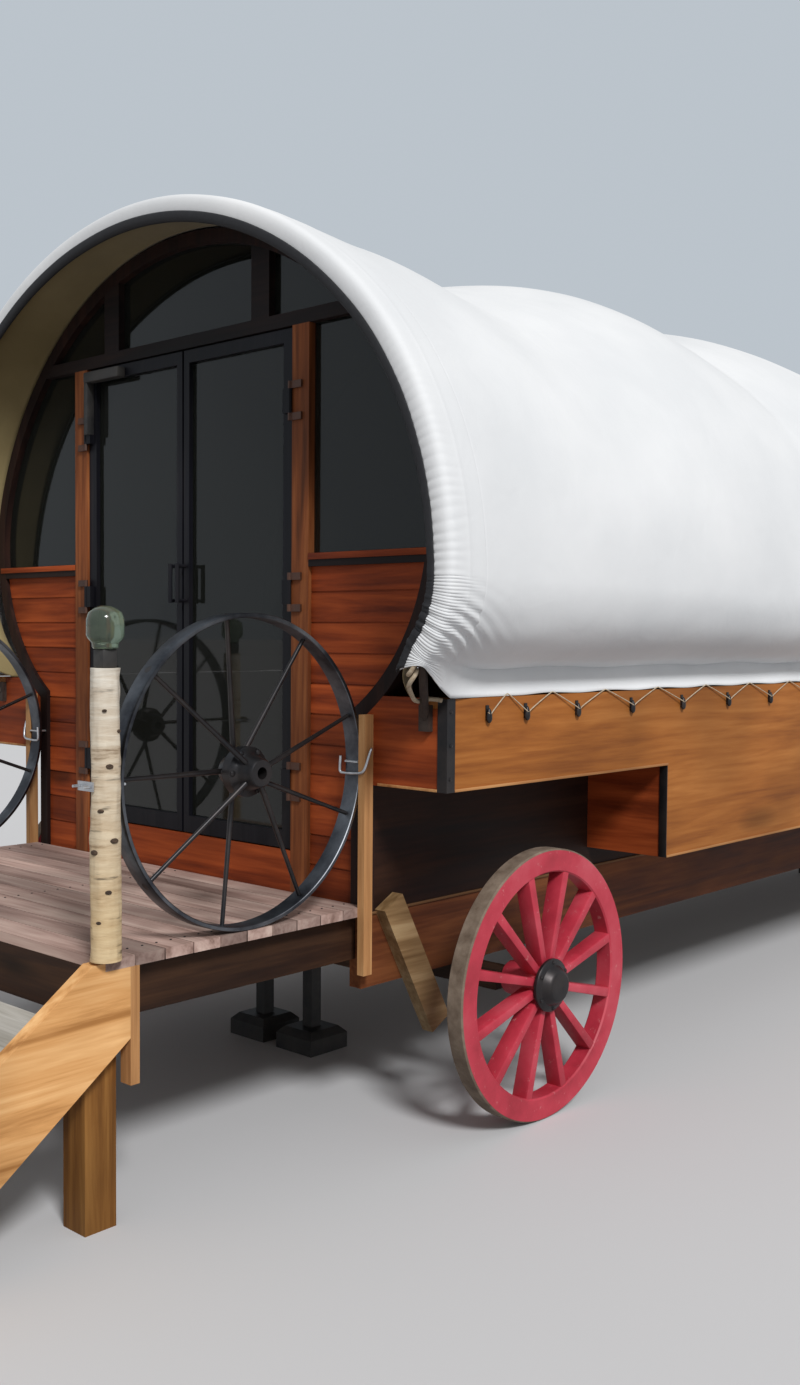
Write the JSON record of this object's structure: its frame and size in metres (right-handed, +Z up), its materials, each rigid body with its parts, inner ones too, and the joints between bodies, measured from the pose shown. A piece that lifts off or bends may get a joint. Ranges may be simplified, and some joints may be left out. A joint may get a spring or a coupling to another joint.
{
  "type": "covered wagon cabin",
  "caption": "Standing timber wagon with a white canvas cover on bows, a glazed arched front with double doors, side boxes, deck with steps, iron rail wheels and red spoked wheels.",
  "frame": {"origin": "on the ground, below the middle of the whole wagon's length and width", "axes": "+X to the wagon's right seen from the steps, +Y along its length away from the steps, +Z up"},
  "size_m": [2.934, 8.2696, 3.144],
  "materials": {
    "side_timber": "stained planks with a plain grain",
    "red_timber": "red-brown stained boards",
    "dark_timber": "dark stained timber",
    "deck_timber": "weathered grey boards",
    "step_timber": "light new softwood with knots",
    "crimson_timber": "crimson painted timber with a weathered tread",
    "birch_bark": "peeling white bark with dark knots",
    "canvas": "white cotton canvas, gathered at the rim",
    "lining_cloth": "olive and tan cloth",
    "black_edging": "black bound edge",
    "black_iron": "black iron, slightly rusted",
    "galvanised": "galvanised tube",
    "black_plastic": "black moulded plastic",
    "jar_glass": "greenish jar glass",
    "glass": "clear pane"
  },
  "bodies": {
    "wagon": {"axle_braces": "dark_timber", "axles": "dark_timber", "birch_posts": "birch_bark", "body_sides": "side_timber", "bows": "galvanised", "box_ends": "red_timber", "box_floors": "side_timber", "canvas": "canvas", "cap_rails": "side_timber", "corner_irons": "black_iron", "deck_bearers": "step_timber", "deck_boards": "deck_timber", "deck_front_beam": "step_timber", "floor": "side_timber", "floor_beams": "dark_timber", "front_arch": "red_timber", "front_cladding": "red_timber", "front_header": "dark_timber", "front_panes": "glass", "front_posts": "red_timber", "front_rails": "dark_timber", "front_threshold": "red_timber", "hinge_plates": "black_iron", "iron_wheel_left": "black_iron", "iron_wheel_right": "black_iron", "jack_stands": "black_plastic", "lantern_bases": "black_plastic", "lantern_jars": "jar_glass", "lower_side_boards": "side_timber", "overhang_linings": "lining_cloth", "rail_clamps": "black_iron", "rear_arch": "red_timber", "rear_cladding": "red_timber", "rear_pane": "glass", "rear_window": "dark_timber", "rim_bows": "galvanised", "rim_edging": "black_edging", "sills": "red_timber", "step_cleats": "step_timber", "step_legs": "step_timber", "step_stringers": "step_timber", "step_treads": "deck_timber", "upper_side_boards": "side_timber", "wall_posts": "step_timber"},
    "left_door": {"door_glass_left": "glass", "door_left": "dark_timber"},
    "right_door": {"door_glass_right": "glass", "door_right": "dark_timber"},
    "front_left_wheel": {"hub_cap_front_left": "black_iron", "wheel_front_left": "crimson_timber"},
    "front_right_wheel": {"hub_cap_front_right": "black_iron", "wheel_front_right": "crimson_timber"},
    "rear_left_wheel": {"hub_cap_rear_left": "black_iron", "wheel_rear_left": "crimson_timber"},
    "rear_right_wheel": {"hub_cap_rear_right": "black_iron", "wheel_rear_right": "crimson_timber"}
  },
  "joints": [
    {"name": "front_right_wheel_spin", "type": "hinge", "parent": "wagon", "child": "front_right_wheel", "pos_m": [1.2295, -1.70866, 0.451], "axis": [1, 0, 0], "continuous": true},
    {"name": "front_left_wheel_spin", "type": "hinge", "parent": "wagon", "child": "front_left_wheel", "pos_m": [-1.2295, -1.70866, 0.451], "axis": [1, 0, 0], "continuous": true},
    {"name": "rear_right_wheel_spin", "type": "hinge", "parent": "wagon", "child": "rear_right_wheel", "pos_m": [1.2295, 3.36134, 0.451], "axis": [1, 0, 0], "continuous": true},
    {"name": "rear_left_wheel_spin", "type": "hinge", "parent": "wagon", "child": "rear_left_wheel", "pos_m": [-1.2295, 3.36134, 0.451], "axis": [1, 0, 0], "continuous": true},
    {"name": "right_door_hinge", "type": "hinge", "parent": "wagon", "child": "right_door", "pos_m": [0.5775, -2.25166, 1.7515], "axis": [0, 0, 1], "range_deg": [0, 100]},
    {"name": "left_door_hinge", "type": "hinge", "parent": "wagon", "child": "left_door", "pos_m": [-0.5775, -2.25166, 1.7515], "axis": [0, 0, -1], "range_deg": [0, 100]}
  ]
}
